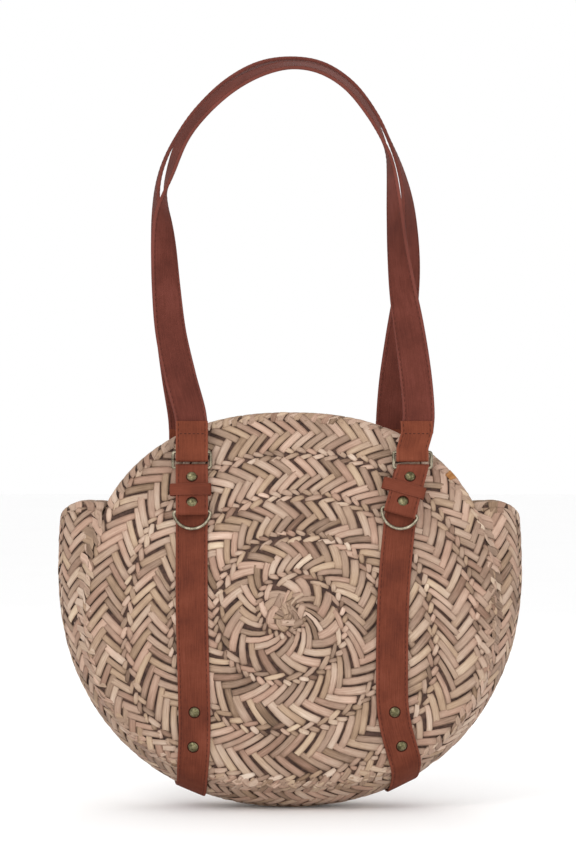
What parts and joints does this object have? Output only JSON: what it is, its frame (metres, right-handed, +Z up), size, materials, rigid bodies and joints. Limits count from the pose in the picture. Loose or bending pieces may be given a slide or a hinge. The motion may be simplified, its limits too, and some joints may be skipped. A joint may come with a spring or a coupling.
{
  "type": "beach bag",
  "caption": "Round woven palm-leaf beach bag with a side band, leather base straps, riveted tabs, brass rings and long leather shoulder handles.",
  "frame": {"origin": "middle of the bag's lowest point", "axes": "+Z up to the handles, -Y out of the front disc, +X to the bag's right as seen from the front"},
  "size_m": [0.44, 0.1469, 0.7127],
  "materials": {
    "palm_braid": "dry woven palm leaf",
    "strap_leather": "smooth vegetable-tanned leather",
    "handle_leather": "smooth vegetable-tanned leather",
    "antique_brass": "aged, half-dull"
  },
  "bodies": {
    "bag": {"front_panel": "palm_braid", "rear_panel": "palm_braid", "side_band": "palm_braid", "left_base_strap": "strap_leather", "right_base_strap": "strap_leather", "front_left_tab": "strap_leather", "front_left_keeper": "strap_leather", "front_left_tab_rivets": "antique_brass", "front_left_base_rivets": "antique_brass", "front_right_tab": "strap_leather", "front_right_keeper": "strap_leather", "front_right_tab_rivets": "antique_brass", "front_right_base_rivets": "antique_brass", "rear_left_tab": "strap_leather", "rear_left_keeper": "strap_leather", "rear_left_tab_rivets": "antique_brass", "rear_left_base_rivets": "antique_brass", "rear_right_tab": "strap_leather", "rear_right_keeper": "strap_leather", "rear_right_tab_rivets": "antique_brass", "rear_right_base_rivets": "antique_brass"},
    "front_left_handle_ring": {"front_left_handle_ring": "antique_brass"},
    "front_left_d_ring": {"front_left_d_ring": "antique_brass"},
    "front_right_handle_ring": {"front_right_handle_ring": "antique_brass"},
    "front_right_d_ring": {"front_right_d_ring": "antique_brass"},
    "rear_left_handle_ring": {"rear_left_handle_ring": "antique_brass"},
    "rear_left_d_ring": {"rear_left_d_ring": "antique_brass"},
    "rear_right_handle_ring": {"rear_right_handle_ring": "antique_brass"},
    "rear_right_d_ring": {"rear_right_d_ring": "antique_brass"},
    "front_handle": {"front_handle": "handle_leather"},
    "rear_handle": {"rear_handle": "handle_leather"}
  },
  "joints": [
    {"name": "front_left_ring_swing", "type": "hinge", "parent": "bag", "child": "front_left_handle_ring", "pos_m": [-0.0915, -0.0595, 0.322], "axis": [1, 0, 0], "range_deg": [0, 95]},
    {"name": "front_left_d_ring_swing", "type": "hinge", "parent": "bag", "child": "front_left_d_ring", "pos_m": [-0.09099, -0.06992, 0.28161], "axis": [-0.9999, -0.0031, -0.0119], "range_deg": [0, 140]},
    {"name": "front_right_ring_swing", "type": "hinge", "parent": "bag", "child": "front_right_handle_ring", "pos_m": [0.114, -0.0595, 0.322], "axis": [1, 0, 0], "range_deg": [0, 95]},
    {"name": "front_right_d_ring_swing", "type": "hinge", "parent": "bag", "child": "front_right_d_ring", "pos_m": [0.1022, -0.0685, 0.28163], "axis": [-0.9616, 0.0597, 0.2678], "range_deg": [0, 140]},
    {"name": "front_handle_swing", "type": "hinge", "parent": "front_left_handle_ring", "child": "front_handle", "pos_m": [-0.0915, -0.05788, 0.33651], "axis": [1, 0, 0], "range_deg": [0, 60]},
    {"name": "rear_left_ring_swing", "type": "hinge", "parent": "bag", "child": "rear_left_handle_ring", "pos_m": [-0.102, 0.0595, 0.322], "axis": [-1, 0, 0], "range_deg": [0, 95]},
    {"name": "rear_left_d_ring_swing", "type": "hinge", "parent": "bag", "child": "rear_left_d_ring", "pos_m": [-0.10118, 0.06864, 0.28162], "axis": [0.9998, -0.0044, 0.0194], "range_deg": [0, 140]},
    {"name": "rear_right_ring_swing", "type": "hinge", "parent": "bag", "child": "rear_right_handle_ring", "pos_m": [0.098, 0.0595, 0.322], "axis": [-1, 0, 0], "range_deg": [0, 95]},
    {"name": "rear_right_d_ring_swing", "type": "hinge", "parent": "bag", "child": "rear_right_d_ring", "pos_m": [0.0971, 0.06918, 0.28162], "axis": [0.9998, 0.005, -0.021], "range_deg": [0, 140]},
    {"name": "rear_handle_swing", "type": "hinge", "parent": "rear_left_handle_ring", "child": "rear_handle", "pos_m": [-0.102, 0.05788, 0.33651], "axis": [-1, 0, 0], "range_deg": [0, 60]}
  ],
  "couplings": [
    {"joint": "front_right_ring_swing", "follows": "front_left_ring_swing", "ratio": 1},
    {"joint": "rear_right_ring_swing", "follows": "rear_left_ring_swing", "ratio": 1}
  ]
}
